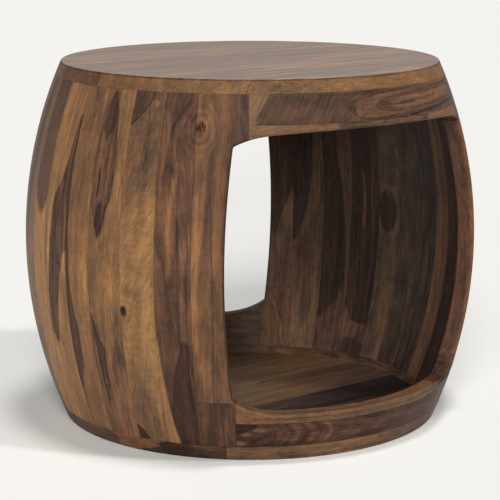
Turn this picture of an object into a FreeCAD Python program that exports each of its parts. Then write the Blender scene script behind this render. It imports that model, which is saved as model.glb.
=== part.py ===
import FreeCAD, Part
import math
import os
import Sketcher

# Round side table: a barrel-shaped drum of solid wood staves with an arched opening at the
# front and at the back, a planked top, a jointed base ring and a planked floor inside it.
# Frame: origin at the middle of the base's underside, +Z up, front opening towards -Y.
# Azimuth 0 is the front (-Y) and grows towards the right (+X). Lengths in mm, angles in degrees.

doc = FreeCAD.newDocument("RoundSideTable")
Vector = FreeCAD.Vector

# Driving sizes: name, value, meaning
drivingSizes = [
    ("tableHeight", 450, "floor to table top"),
    ("girthHeight", 223, "height of the widest place of the drum"),
    ("girthDiameter", 570, "widest diameter"),
    ("bellyRadius", 555.5, "radius of the arc that is the drum's outline from the side"),
    ("wallThickness", 21, "thickness of staves, headers and sills, square to the curve"),
    ("topThickness", 16, "thickness of the table top boards"),
    ("baseHeight", 19, "height of the base ring"),
    ("floorThickness", 6, "thickness of the floor boards"),
    ("floorLip", 3, "height of the floor boards' underside above the base's underside"),
    ("grooveDepth", 6, "reach of the floor boards into the base ring"),
    ("grooveGap", 0.2, "play of the floor boards in their groove, above and outside"),
    ("openingInset", 84, "side of an opening, inwards from the drum's outline seen from the front"),
    ("openingCorner", 8, "radius of an opening's corners"),
    ("openingRise", 4.5, "rise of an opening's arched upper edge between its shoulders"),
    ("headShoulderReach", 36, "reach of an opening's upper shoulders inwards from its sides"),
    ("headShoulderDrop", 13, "fall of an opening's upper shoulders"),
    ("sillShoulderReach", 48, "reach of an opening's lower shoulders inwards from its sides"),
    ("sillShoulderRise", 18, "rise of an opening's lower shoulders"),
    ("upperHeaderHeight", 34, "upper header board"),
    ("lowerHeaderHeight", 7.5, "lower header board at the top of the arch"),
    ("lowerSillHeight", 31, "lower sill board at the front"),
    ("backSillHeight", 23, "lower sill board at the back"),
    ("upperSillHeight", 11, "upper sill board at the front, under the opening's flat edge"),
    ("frontBlockHeight", 58, "corner blocks under the front jamb staves"),
    ("backBlockHeight", 79, "corner blocks under the back jamb staves"),
    ("outerRound", 3, "rounding of the openings' outer edge"),
    ("innerRound", 2, "rounding of the openings' inner edge"),
    ("topRound", 2, "rounding of the table top's rim"),
    ("baseRound", 4, "rounding of the base's lower rim"),
    ("dowelDiameter", 6, "hidden dowels"),
    ("dowelDepthInTop", 9, "length of a top dowel inside the table top"),
    ("dowelDepthInBase", 8, "length of a base dowel inside the base ring"),
    ("dowelDepthInWall", 12, "length of each dowel inside the wall"),
    ("dowelGap", 0.15, "glue space round a dowel and past its ends"),
    ("jambAngle", 42.2, "azimuth where the sills end and the jamb staves begin"),
    ("headerAngle", 38.8, "azimuth where the header boards end"),
    ("ringAngle", 45, "azimuth where the base ring's long segments end"),
    ("cutOverrun", 15, "how far a cutting shape stands past what it cuts"),
    ("tolerance", 0.05, "how near an edge lies to the surface that it is looked for on"),
]

# Seams of a side wall, as shares of the way from its front jamb to its back jamb
leftSeamShares = [0, 0.104, 0.199, 0.296, 0.396, 0.486, 0.591, 0.678, 0.786, 0.892, 1]
rightSeamShares = [0, 0.107, 0.213, 0.305, 0.406, 0.5, 0.592, 0.695, 0.795, 0.898, 1]

# Joints of the base ring beside its long segments, as shares of the way from front to back
ringSeamShares = [0, 0.385, 0.69, 1]

# Seams between the boards, as shares of the half width, from the front edge to the back edge
topSeamShares = [-1, -0.79, -0.393, -0.072, 0.296, 0.668, 1]
floorSeamShares = [-1, -0.58, -0.178, 0.2, 0.6, 1]

# Dowels of a header or a sill, as shares of the header's half angle
railDowelShares = [-0.65, 0, 0.65]

# Plane of the smaller outline of an opening, as a share of the girth radius
nearPlaneShare = 0.42

# Points tried along an edge to tell which surface it lies on
edgeSamples = 5


def makeSheet():
    sheet = doc.addObject("Spreadsheet::Sheet", "Sizes")
    for row, (name, value, meaning) in enumerate(drivingSizes, 1):
        sheet.set(f"A{row}", name)
        sheet.set(f"B{row}", str(value))
        sheet.set(f"C{row}", meaning)
        sheet.setAlias(f"B{row}", name)
    doc.recompute()
    return sheet


sizes = makeSheet()
formulas = doc.addObject("App::VarSet", "Worked")


def worked(name, text):
    """A size worked out from the sheet, kept as a bound property."""
    formulas.addProperty("App::PropertyFloat", name)
    formulas.setExpression(name, text)
    doc.recompute()


def radiiAt(name, height):
    """Outer and inner radius of the drum at a height, named after the place."""
    rise = f"({height} - Sizes.girthHeight)"
    worked(f"{name}Radius", f"sqrt(Sizes.bellyRadius^2 - {rise}^2) - arcCentre")
    worked(f"{name}InnerRadius", f"sqrt((Sizes.bellyRadius - Sizes.wallThickness)^2 - {rise}^2) - arcCentre")


# The drum's outline is one arc, upright at the girth, whose centre lies beyond the axis
worked("girthRadius", "Sizes.girthDiameter / 2")
worked("arcCentre", "Sizes.bellyRadius - girthRadius")

# Heights of the horizontal joints
worked("wallTop", "Sizes.tableHeight - Sizes.topThickness")
worked("headerSeam", "wallTop - Sizes.upperHeaderHeight")
worked("openingTop", "headerSeam - Sizes.lowerHeaderHeight")
worked("openingArch", "openingTop - Sizes.openingRise")
worked("jambHigh", "openingArch - Sizes.headShoulderDrop")
worked("frontSillSeam", "Sizes.baseHeight + Sizes.lowerSillHeight")
worked("backSillSeam", "Sizes.baseHeight + Sizes.backSillHeight")
worked("openingLow", "frontSillSeam + Sizes.upperSillHeight")
worked("jambLow", "openingLow + Sizes.sillShoulderRise")
worked("openingMiddle", "(jambLow + jambHigh) / 2")
worked("frontBlockTop", "Sizes.baseHeight + Sizes.frontBlockHeight")
worked("backBlockTop", "Sizes.baseHeight + Sizes.backBlockHeight")
worked("floorTop", "Sizes.floorLip + Sizes.floorThickness")
worked("topDowelHigh", "wallTop + Sizes.dowelDepthInTop")
worked("topDowelLow", "wallTop - Sizes.dowelDepthInWall")
worked("baseDowelLow", "Sizes.baseHeight - Sizes.dowelDepthInBase")
worked("baseDowelHigh", "Sizes.baseHeight + Sizes.dowelDepthInWall")

radiiAt("rim", "Sizes.tableHeight")
radiiAt("floorTop", "floorTop")
radiiAt("topDowelHigh", "topDowelHigh")
radiiAt("topDowelLow", "topDowelLow")
radiiAt("baseDowelHigh", "baseDowelHigh")
radiiAt("baseDowelLow", "baseDowelLow")
worked("grooveRadius", "floorTopInnerRadius + Sizes.grooveDepth")
worked("floorRadius", "grooveRadius - Sizes.grooveGap")
worked("reachRadius", "girthRadius + Sizes.cutOverrun")

# A dowel stands midway between the drum's skin at its outer end and at its inner end
worked("topDowelRadius", "(topDowelHighRadius + topDowelLowInnerRadius) / 2")
worked("baseDowelRadius", "(baseDowelLowRadius + baseDowelHighInnerRadius) / 2")

# Half width of an opening over its distance from the axis, from its sill to its head: its jambs are radial
for place, height, inset in (
    ("sill", "openingLow", "(Sizes.openingInset + Sizes.sillShoulderReach)"),
    ("jambLow", "jambLow", "Sizes.openingInset"),
    ("middle", "openingMiddle", "Sizes.openingInset"),
    ("jambHigh", "jambHigh", "Sizes.openingInset"),
    ("head", "openingArch", "(Sizes.openingInset + Sizes.headShoulderReach)"),
):
    radiiAt(place, height)
    worked(f"{place}Slope", f"({place}Radius - {inset}) / sqrt({inset} * (2 * {place}Radius - {inset}))")


def originPlane(body, role):
    return next(item for item in body.Origin.OriginFeatures if item.Role == role)


def newSketch(body, role, name):
    sketch = body.newObject("Sketcher::SketchObject", name)
    sketch.AttachmentSupport = [(originPlane(body, role), "")]
    sketch.MapMode = "FlatFace"
    return sketch


def bind(sketch, kind, *target, size):
    """Adds a dimension to a sketch and binds it to a formula."""
    index = sketch.addConstraint(Sketcher.Constraint(kind, *target, formulas.evalExpression(size)))
    sketch.setExpression(f"Constraints[{index}]", size)


def finishBody(body, feature):
    body.Tip = feature
    doc.recompute()
    return feature


def turnedSection(body, name, low, high):
    """Section of the drum's wall between two heights: two arcs about one centre and two level lines."""
    sketch = newSketch(body, "XZ_Plane", name)
    centre = Vector(-formulas.arcCentre, sizes.girthHeight, 0)
    arcs = []
    for radius in (sizes.bellyRadius, sizes.bellyRadius - sizes.wallThickness):
        start = math.asin((formulas.evalExpression(low) - centre.y) / radius)
        end = math.asin((formulas.evalExpression(high) - centre.y) / radius)
        arcs.append(Part.ArcOfCircle(Part.Circle(centre, Vector(0, 0, 1), radius), start, end))
    outer, inner = arcs
    sketch.addGeometry([
        outer,
        Part.LineSegment(outer.EndPoint, inner.EndPoint),
        inner,
        Part.LineSegment(inner.StartPoint, outer.StartPoint),
    ], False)
    for joint in ((0, 2, 1, 1), (1, 2, 2, 2), (2, 1, 3, 1), (3, 2, 0, 1), (0, 3, 2, 3)):
        sketch.addConstraint(Sketcher.Constraint("Coincident", *joint))
    for line in (1, 3):
        sketch.addConstraint(Sketcher.Constraint("Horizontal", line))
    bind(sketch, "DistanceX", 0, 3, -1, 1, size="Worked.arcCentre")
    bind(sketch, "DistanceY", -1, 1, 0, 3, size="Sizes.girthHeight")
    bind(sketch, "Radius", 0, size="Sizes.bellyRadius")
    bind(sketch, "Radius", 2, size="Sizes.bellyRadius - Sizes.wallThickness")
    bind(sketch, "DistanceY", -1, 1, 0, 1, size=low)
    bind(sketch, "DistanceY", -1, 1, 0, 2, size=high)
    return sketch


def revolve(body, sketch, name):
    turned = body.newObject("PartDesign::Revolution", name)
    turned.Profile = sketch
    turned.ReferenceAxis = (sketch, ["V_Axis"])
    turned.Angle = 360
    return finishBody(body, turned)


def roundEdges(body, name, edges, size):
    """Rounds the named edges of the body's last feature by a size of the sheet."""
    previous = body.Tip
    rounding = body.newObject("PartDesign::Fillet", name)
    rounding.Base = (previous, edges)
    rounding.setExpression("Radius", size)
    return finishBody(body, rounding)


def shoulderMiddle(level, side):
    """Point halfway along the arc that leaves a level place and ends at a jamb."""
    width, rise = side.x - level.x, side.y - level.y
    turned = math.atan(abs(rise) / width)
    radius = (width**2 + rise**2) / (2 * rise)
    return level + Vector(abs(radius) * math.sin(turned), radius * (1 - math.cos(turned)), 0)


def openingSketch(body, name, distance):
    """Outline of an opening in an upright plane: a flat sill, two bowed jambs, an arched head and their shoulders."""
    sketch = newSketch(body, "XZ_Plane", name)
    sketch.setExpression("AttachmentOffset.Base.z", distance)
    depth = formulas.evalExpression(distance)
    sill = Vector(depth * formulas.sillSlope, formulas.openingLow, 0)
    low = Vector(depth * formulas.jambLowSlope, formulas.jambLow, 0)
    middle = Vector(depth * formulas.middleSlope, formulas.openingMiddle, 0)
    high = Vector(depth * formulas.jambHighSlope, formulas.jambHigh, 0)
    head = Vector(depth * formulas.headSlope, formulas.openingArch, 0)
    top = Vector(0, formulas.openingTop, 0)
    lowShoulder, highShoulder = shoulderMiddle(sill, low), shoulderMiddle(head, high)

    def left(point):
        return Vector(-point.x, point.y, 0)

    sketch.addGeometry([
        Part.LineSegment(left(sill), sill),
        Part.Arc(sill, lowShoulder, low),
        Part.Arc(low, middle, high),
        Part.Arc(high, highShoulder, head),
        Part.Arc(head, top, left(head)),
        Part.Arc(left(head), left(highShoulder), left(high)),
        Part.Arc(left(high), left(middle), left(low)),
        Part.Arc(left(low), left(lowShoulder), left(sill)),
    ], False)
    for first, second in ((1, 2), (2, 3), (4, 5), (5, 6), (6, 7), (7, 0)):
        sketch.addConstraint(Sketcher.Constraint("Coincident", first, 2, second, 1))
    for first, second in ((0, 1), (3, 4)):
        sketch.addConstraint(Sketcher.Constraint("Tangent", first, 2, second, 1))
    for first, second in (((0, 1), (0, 2)), ((6, 2), (2, 1)), ((6, 1), (2, 2)), ((4, 1), (4, 2))):
        sketch.addConstraint(Sketcher.Constraint("Symmetric", *first, *second, -2))
    for first, second in ((1, 7), (2, 6), (3, 5)):
        sketch.addConstraint(Sketcher.Constraint("Equal", first, second))
    corners = (
        (0, 2, "sillSlope", "openingLow"),
        (2, 1, "jambLowSlope", "jambLow"),
        (2, 2, "jambHighSlope", "jambHigh"),
        (4, 1, "headSlope", "openingArch"),
    )
    for line, end, slope, height in corners:
        bind(sketch, "DistanceX", -1, 1, line, end, size=f"{distance} * Worked.{slope}")
        bind(sketch, "DistanceY", -1, 1, line, end, size=f"Worked.{height}")
    half = f"({distance} * Worked.headSlope)"
    bind(sketch, "Radius", 4, size=f"({half}^2 + Sizes.openingRise^2) / (2 * Sizes.openingRise)")
    lean = f"({distance} * (Worked.jambHighSlope - Worked.jambLowSlope))"
    step = f"({lean}^2 + (Worked.jambHigh - Worked.jambLow)^2)"
    bow = f"({distance} * (Worked.middleSlope - (Worked.jambLowSlope + Worked.jambHighSlope) / 2))"
    bind(sketch, "Radius", 2, size=f"({step} / 4 + {bow}^2) / (2 * {bow})")
    return sketch


def drumRadius(height, inner):
    radius = sizes.bellyRadius - sizes.wallThickness * inner
    return math.sqrt(radius**2 - (height - sizes.girthHeight) ** 2) - formulas.arcCentre


def openingEdges(shape, inner):
    """Names of the edges round the openings that lie on the drum's outer or inner skin."""
    names = []
    for number, edge in enumerate(shape.Edges, 1):
        points = edge.discretize(edgeSamples)
        low = min(point.z for point in points)
        high = max(point.z for point in points)
        onSkin = all(
            abs(math.hypot(point.x, point.y) - drumRadius(point.z, inner)) < sizes.tolerance
            for point in points
        )
        inOpening = low > formulas.openingLow - sizes.tolerance
        inOpening = inOpening and high < formulas.openingTop + sizes.tolerance
        if onSkin and inOpening:
            names.append(f"Edge{number}")
    return names


def cornerEdges(shape):
    """Names of the short level edges that run through the wall at the openings' corners."""
    names = []
    for number, edge in enumerate(shape.Edges, 1):
        ends = [vertex.Point for vertex in edge.Vertexes]
        if len(ends) != 2:
            continue
        radii = sorted(math.hypot(point.x, point.y) for point in ends)
        level = abs(ends[0].z - ends[1].z) < sizes.tolerance
        offCorner = min(abs(ends[0].z - formulas.jambLow), abs(ends[0].z - formulas.jambHigh))
        if level and offCorner < sizes.tolerance and radii[1] - radii[0] > sizes.wallThickness / 2:
            names.append(f"Edge{number}")
    return names


def buildDrum():
    """The wall as it is glued up and turned: one hollow drum with both openings, edges rounded."""
    body = doc.addObject("PartDesign::Body", "TurnedDrum")
    section = turnedSection(body, "DrumSection", "Sizes.baseHeight", "Worked.wallTop")
    revolve(body, section, "DrumTurned")
    near = openingSketch(body, "OpeningNear", f"({nearPlaneShare} * Worked.girthRadius)")
    far = openingSketch(body, "OpeningFar", "Worked.reachRadius")
    loft = body.newObject("PartDesign::SubtractiveLoft", "FrontOpening")
    loft.Profile = near
    loft.Sections = [far]
    loft.Ruled = True
    finishBody(body, loft)
    both = body.newObject("PartDesign::PolarPattern", "BothOpenings")
    both.Originals = [loft]
    both.Axis = (section, ["V_Axis"])
    both.Angle = 360
    both.Occurrences = 2
    finishBody(body, both)
    roundEdges(body, "OpeningCorners", cornerEdges(both.Shape), "Sizes.openingCorner")
    roundEdges(body, "OuterRounding", openingEdges(body.Tip.Shape, 0), "Sizes.outerRound")
    roundEdges(body, "InnerRounding", openingEdges(body.Tip.Shape, 1), "Sizes.innerRound")
    return body


def buildRing():
    """The base ring: the drum's section carried down to the floor, grooved for the floor boards."""
    body = doc.addObject("PartDesign::Body", "TurnedRing")
    section = turnedSection(body, "RingSection", "0", "Sizes.baseHeight")
    revolve(body, section, "RingTurned")
    rim = lowestRim(body.Shape)
    roundEdges(body, "RingRounding", [rim], "Sizes.baseRound")
    sketch = newSketch(body, "XZ_Plane", "GrooveSection")
    inside = formulas.floorTopInnerRadius - sizes.cutOverrun
    low, high = sizes.floorLip, formulas.floorTop + sizes.grooveGap
    points = [
        Vector(inside, low, 0),
        Vector(formulas.grooveRadius, low, 0),
        Vector(formulas.grooveRadius, high, 0),
        Vector(inside, high, 0),
    ]
    sketch.addGeometry([Part.LineSegment(points[k - 1], points[k]) for k in range(4)], False)
    for k in range(4):
        sketch.addConstraint(Sketcher.Constraint("Coincident", k, 2, (k + 1) % 4, 1))
    for k in (1, 3):
        sketch.addConstraint(Sketcher.Constraint("Horizontal", k))
    for k in (0, 2):
        sketch.addConstraint(Sketcher.Constraint("Vertical", k))
    bind(sketch, "DistanceX", -1, 1, 1, 1, size="Worked.floorTopInnerRadius - Sizes.cutOverrun")
    bind(sketch, "DistanceX", -1, 1, 1, 2, size="Worked.grooveRadius")
    bind(sketch, "DistanceY", -1, 1, 1, 2, size="Sizes.floorLip")
    bind(sketch, "DistanceY", -1, 1, 2, 2, size="Worked.floorTop + Sizes.grooveGap")
    groove = body.newObject("PartDesign::Groove", "FloorGroove")
    groove.Profile = sketch
    groove.ReferenceAxis = (sketch, ["V_Axis"])
    groove.Angle = 360
    finishBody(body, groove)
    return body


def lowestRim(shape):
    """Name of the lowest and widest circular edge."""
    circles = [
        (edge.BoundBox.ZMax > sizes.tolerance, -edge.BoundBox.XLength, number)
        for number, edge in enumerate(shape.Edges, 1)
        if edge.BoundBox.ZLength < sizes.tolerance
    ]
    return f"Edge{min(circles)[2]}"


def highestRim(shape):
    """Name of the highest circular edge."""
    circles = [
        (edge.BoundBox.ZMin, edge.BoundBox.XLength, number)
        for number, edge in enumerate(shape.Edges, 1)
        if edge.BoundBox.ZLength < sizes.tolerance
    ]
    return f"Edge{max(circles)[2]}"


def buildTop():
    """The table top as it is glued up and turned: a disc whose rim carries on the drum's arc."""
    body = doc.addObject("PartDesign::Body", "TurnedTop")
    sketch = newSketch(body, "XZ_Plane", "TopSection")
    radius = sizes.bellyRadius
    centre = Vector(-formulas.arcCentre, sizes.girthHeight, 0)
    start = math.asin((formulas.wallTop - centre.y) / radius)
    end = math.asin((sizes.tableHeight - centre.y) / radius)
    rim = Part.ArcOfCircle(Part.Circle(centre, Vector(0, 0, 1), radius), start, end)
    upper = Vector(0, sizes.tableHeight, 0)
    lower = Vector(0, formulas.wallTop, 0)
    sketch.addGeometry([
        rim,
        Part.LineSegment(rim.EndPoint, upper),
        Part.LineSegment(upper, lower),
        Part.LineSegment(lower, rim.StartPoint),
    ], False)
    for joint in ((0, 2, 1, 1), (1, 2, 2, 1), (2, 2, 3, 1), (3, 2, 0, 1)):
        sketch.addConstraint(Sketcher.Constraint("Coincident", *joint))
    for line in (1, 3):
        sketch.addConstraint(Sketcher.Constraint("Horizontal", line))
    for end in (1, 2):
        sketch.addConstraint(Sketcher.Constraint("PointOnObject", 2, end, -2))
    bind(sketch, "DistanceX", 0, 3, -1, 1, size="Worked.arcCentre")
    bind(sketch, "DistanceY", -1, 1, 0, 3, size="Sizes.girthHeight")
    bind(sketch, "Radius", 0, size="Sizes.bellyRadius")
    bind(sketch, "DistanceY", -1, 1, 2, 1, size="Sizes.tableHeight")
    bind(sketch, "DistanceY", -1, 1, 2, 2, size="Worked.wallTop")
    revolve(body, sketch, "TopTurned")
    roundEdges(body, "TopRounding", [highestRim(body.Shape)], "Sizes.topRound")
    return body


def sideAngles(shares, sign):
    """Azimuth formulas of a side wall's seams; sign is 1 on the right and -1 on the left."""
    return [f"({sign} * (Sizes.jambAngle + {share} * (180 - 2 * Sizes.jambAngle)))" for share in shares]


def turn(item, azimuth):
    """Turns an object about Z so that its X axis points to an azimuth."""
    item.Placement = FreeCAD.Placement(Vector(), FreeCAD.Rotation(Vector(0, 0, 1), 1))
    item.setExpression("Placement.Rotation.Angle", f"{azimuth} - 90")


def dowelRow(name, place, low, high, gap):
    """Dowels, or the holes for them, in the middle of every stave, header or sill end."""
    azimuths = []
    for shares, sign in ((leftSeamShares, -1), (rightSeamShares, 1)):
        middles = [(first + second) / 2 for first, second in zip(shares, shares[1:])]
        azimuths += sideAngles(middles, sign)
    for facing in (0, 180):
        azimuths += [f"({facing} + {share} * Sizes.headerAngle)" for share in railDowelShares]
    pins = []
    for number, azimuth in enumerate(azimuths, 1):
        pin = doc.addObject("Part::Cylinder", f"{name}Pin{number}")
        pin.setExpression("Radius", f"Sizes.dowelDiameter / 2 + {gap}")
        pin.setExpression("Height", f"{high} - {low} + 2 * {gap}")
        pin.setExpression("Placement.Base.x", f"{place} * sin({azimuth})")
        pin.setExpression("Placement.Base.y", f"-{place} * cos({azimuth})")
        pin.setExpression("Placement.Base.z", f"{low} - {gap}")
        pins.append(pin)
    row = doc.addObject("Part::Compound", name)
    row.Links = pins
    return row


def drilled(name, body, holes):
    cut = doc.addObject("Part::Cut", name)
    cut.Base = body
    cut.Tool = holes
    return cut


parts = []


def keep(item, label):
    item.Label = label
    parts.append(item)
    return item


def sector(label, source, start, end, low, high):
    """Piece of a turned source between two azimuths and two heights."""
    wedge = doc.addObject("Part::Cylinder", f"wedge_{label}")
    wedge.setExpression("Radius", "Worked.reachRadius")
    wedge.setExpression("Height", f"{high} - {low}")
    wedge.setExpression("Angle", f"{end} - {start}")
    turn(wedge, start)
    wedge.setExpression("Placement.Base.z", low)
    piece = doc.addObject("Part::Common", f"piece_{label}")
    piece.Base = source
    piece.Tool = wedge
    return keep(piece, label)


def boards(prefix, source, shares, halfWidth, low, high):
    """Boards of a turned disc, side by side from front to back, their length along X."""
    for number, (front, back) in enumerate(zip(shares, shares[1:]), 1):
        label = f"{prefix}_{number}"
        block = doc.addObject("Part::Box", f"block_{label}")
        reach = f"({halfWidth} + Sizes.cutOverrun)"
        frontPlace = f"{front} * {halfWidth}" if number > 1 else f"-{reach}"
        backPlace = f"{back} * {halfWidth}" if number < len(shares) - 1 else reach
        block.setExpression("Length", f"2 * {reach}")
        block.setExpression("Width", f"{backPlace} - ({frontPlace})")
        block.setExpression("Height", f"{high} - {low}")
        block.setExpression("Placement.Base.x", f"-{reach}")
        block.setExpression("Placement.Base.y", frontPlace)
        block.setExpression("Placement.Base.z", low)
        board = doc.addObject("Part::Common", f"piece_{label}")
        board.Base = source
        board.Tool = block
        keep(board, label)


def buildWall(drum):
    """Cuts the drum into its staves, corner blocks, headers, header ends and sills."""
    base, top = "Sizes.baseHeight", "Worked.wallTop"
    for side, sign, shares in (("left", -1, leftSeamShares), ("right", 1, rightSeamShares)):
        seams = sideAngles(shares, sign)
        last = len(shares) - 1
        for number in range(1, last + 1):
            start, end = seams[number - 1 : number + 1][::sign]
            low = base
            if number in (1, last):
                facing = "front" if number == 1 else "back"
                low = f"Worked.{facing}BlockTop"
                sector(f"{facing}_{side}_corner_block", drum, start, end, base, low)
            sector(f"{side}_stave_{number}", drum, start, end, low, top)
    jamb, head = "Sizes.jambAngle", "Sizes.headerAngle"
    for facing, middle in (("front", "0"), ("back", "180")):
        seam = f"Worked.{facing}SillSeam"
        first, last = f"({middle} - {jamb})", f"({middle} + {jamb})"
        sector(f"{facing}_sill_lower", drum, first, last, base, seam)
        sector(f"{facing}_sill_upper", drum, first, last, seam, "Worked.openingMiddle")
        inFirst, inLast = f"({middle} - {head})", f"({middle} + {head})"
        sector(f"{facing}_header_upper", drum, inFirst, inLast, "Worked.headerSeam", top)
        sector(f"{facing}_header_lower", drum, inFirst, inLast, "Worked.openingMiddle", "Worked.headerSeam")
        sides = ("left", "right") if facing == "front" else ("right", "left")
        sector(f"{facing}_{sides[0]}_header_end", drum, first, inFirst, "Worked.openingMiddle", top)
        sector(f"{facing}_{sides[1]}_header_end", drum, inLast, last, "Worked.openingMiddle", top)


def buildRingSegments(ring):
    """Cuts the base ring into two long segments and three short ones at each side."""
    low, high, angle = "0", "Sizes.baseHeight", "Sizes.ringAngle"
    for facing, middle in (("front", "0"), ("back", "180")):
        sector(f"base_ring_{facing}", ring, f"({middle} - {angle})", f"({middle} + {angle})", low, high)
    for side, sign in (("left", -1), ("right", 1)):
        seams = [f"({sign} * ({angle} + {share} * (180 - 2 * {angle})))" for share in ringSeamShares]
        for number in range(1, len(seams)):
            start, end = seams[number - 1 : number + 1][::sign]
            sector(f"base_ring_{side}_{number}", ring, start, end, low, high)


def buildFloor():
    """The floor boards, cut from one disc that reaches into the base ring's groove."""
    disc = doc.addObject("Part::Cylinder", "FloorDisc")
    disc.setExpression("Radius", "Worked.floorRadius")
    disc.setExpression("Height", "Sizes.floorThickness")
    disc.setExpression("Placement.Base.z", "Sizes.floorLip")
    low, high = "Sizes.floorLip", "Worked.floorTop"
    boards("floor_board", disc, floorSeamShares, "Worked.floorRadius", low, high)


def buildDowels():
    """Both rows of hidden dowels, and the holes for them."""
    rows = (
        ("top", "Worked.topDowelRadius", "Worked.topDowelLow", "Worked.topDowelHigh"),
        ("base", "Worked.baseDowelRadius", "Worked.baseDowelLow", "Worked.baseDowelHigh"),
    )
    holes = {}
    for name, place, low, high in rows:
        keep(dowelRow(f"{name}Dowels", place, low, high, "0"), f"{name}_dowels")
        holes[name] = dowelRow(f"{name}Holes", place, low, high, "Sizes.dowelGap")
    return holes


def checkAndWrite():
    doc.recompute()
    for item in doc.Objects:
        if {"Invalid", "Error"} & set(item.State):
            raise RuntimeError(f"{item.Label} failed: {item.State}")
    for item in parts:
        shape = item.Shape
        if shape.isNull() or not shape.isValid() or not shape.Solids:
            raise RuntimeError(f"{item.Label} is not a valid solid")
    os.makedirs("parts", exist_ok=True)
    for item in parts:
        item.Shape.exportStep(f"parts/{item.Label}.step")
        print(item.Label, len(item.Shape.Solids), round(item.Shape.Volume))


holes = buildDowels()
drum = drilled("DrumTopDrilled", buildDrum(), holes["top"])
buildWall(drilled("DrumDrilled", drum, holes["base"]))
buildRingSegments(drilled("RingDrilled", buildRing(), holes["base"]))
boards(
    "top_board",
    drilled("TopDrilled", buildTop(), holes["top"]),
    topSeamShares,
    "Worked.rimRadius",
    "Worked.wallTop",
    "Sizes.tableHeight",
)
buildFloor()
checkAndWrite()
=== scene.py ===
from collections import namedtuple
import math
import bpy
import numpy as np
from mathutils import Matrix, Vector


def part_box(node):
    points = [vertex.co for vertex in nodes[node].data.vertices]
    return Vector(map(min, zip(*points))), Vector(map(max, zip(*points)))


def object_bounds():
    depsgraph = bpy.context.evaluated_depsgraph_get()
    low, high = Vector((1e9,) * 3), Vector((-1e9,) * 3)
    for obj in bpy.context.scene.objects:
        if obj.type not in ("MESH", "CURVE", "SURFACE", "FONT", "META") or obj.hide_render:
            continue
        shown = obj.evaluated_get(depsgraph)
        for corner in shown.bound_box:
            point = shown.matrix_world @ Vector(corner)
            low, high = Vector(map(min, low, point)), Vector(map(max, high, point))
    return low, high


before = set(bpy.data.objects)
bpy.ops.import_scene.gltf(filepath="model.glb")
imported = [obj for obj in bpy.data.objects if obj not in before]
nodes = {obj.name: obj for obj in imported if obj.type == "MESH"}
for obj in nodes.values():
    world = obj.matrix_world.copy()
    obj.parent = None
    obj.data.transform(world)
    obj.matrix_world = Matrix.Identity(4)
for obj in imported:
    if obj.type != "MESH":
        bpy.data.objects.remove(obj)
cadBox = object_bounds()
print("frame loaded:", len(nodes), "pieces")

mmPerMetre = 1000
drum = {
    "girthHeight": 223.0,  # height of the widest place, mm
    "bellyRadius": 555.5,  # radius of the one arc that the wall is turned from, mm
    "girthRadius": mmPerMetre * cadBox[1][0],
    "height": mmPerMetre * cadBox[1][2],
}
mmPerDegree = math.radians(drum["girthRadius"])    # length of one degree round the girth


def linear(red, green, blue):
    # screen colour, 0 to 255, to shader colour: c / 12.92 when dark, else ((c + 0.055) / 1.055) ^ 2.4
    share = np.array([red, green, blue]) / 255
    value = np.where(share <= 0.04045, share / 12.92, ((share + 0.055) / 1.055) ** 2.4)
    return (*value.tolist(), 1.0)


# shader arithmetic

seedSteps = (17.3, 31.7, 47.9)    # how far one step of the seed moves a noise along its three places


def feed(tree, socket, value):
    # a field or another node's socket is linked, a plain value is set
    value = value.socket if isinstance(value, Field) else value
    if isinstance(value, bpy.types.NodeSocket):
        tree.links.new(value, socket)
    else:
        socket.default_value = value


def newNode(tree, kind, inputs=(), **settings):
    # inputs are pairs, or a dictionary, of a socket's name or number and what it is fed
    node = tree.nodes.new(kind)
    for key, value in settings.items():
        setattr(node, key, value)
    for key, value in dict(inputs).items():
        feed(tree, node.inputs[key], value)
    return node


class Field:
    # one number at each point of a surface; sums and products of fields become Math nodes
    def __init__(self, tree, socket):
        self.tree = tree
        self.socket = socket

    def math(self, operation, *others):
        node = newNode(self.tree, "ShaderNodeMath", enumerate((self, *others)), operation=operation)
        return Field(self.tree, node.outputs[0])

    def __add__(self, other):
        return self.math("ADD", other)

    def __sub__(self, other):
        return self.math("SUBTRACT", other)

    def __mul__(self, other):
        return self.math("MULTIPLY", other)

    def __truediv__(self, other):
        return self.math("DIVIDE", other)

    def __abs__(self):
        return self.math("ABSOLUTE")

    __radd__ = __add__
    __rmul__ = __mul__


# a direction on a piece: the field that runs along it in mm, and how many mm one unit of the tables is
Way = namedtuple("Way", "at scale")


def eased(field, start, end):
    # 0 before start, 1 past end, with a soft turn at both
    limits = {"Value": field, "From Min": start, "From Max": end}
    node = newNode(field.tree, "ShaderNodeMapRange", limits, interpolation_type="SMOOTHSTEP")
    return Field(field.tree, node.outputs[0])


def through(way, points):
    # the smooth curve through (place, value) points along a way, level beyond its ends
    points = sorted((place * way.scale, value) for place, value in points)
    node = newNode(way.at.tree, "ShaderNodeFloatCurve", {"Value": way.at})
    node.mapping.use_clip = False
    node.mapping.extend = "HORIZONTAL"
    curve = node.mapping.curves[0].points
    curve[0].location, curve[1].location = points[0], points[-1]
    for point in points[1:-1]:
        curve.new(*point)
    for point in curve:
        point.handle_type = "AUTO_CLAMPED"
    node.mapping.update()
    return Field(way.at.tree, node.outputs[0])


def noise(tree, places, sizes, seed, detail, roughness):
    # smooth noise of about -1 to 1, 3 * (value - 0.5), whose lumps measure sizes along the three places
    spot = [place * (1 / size) + seed * step for place, size, step in zip(places, sizes, seedSteps)]
    vector = newNode(tree, "ShaderNodeCombineXYZ", enumerate(spot)).outputs[0]
    look = {"Vector": vector, "Scale": 1.0, "Detail": detail, "Roughness": roughness}
    return (Field(tree, newNode(tree, "ShaderNodeTexNoise", look).outputs[0]) + -0.5) * 3


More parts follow.
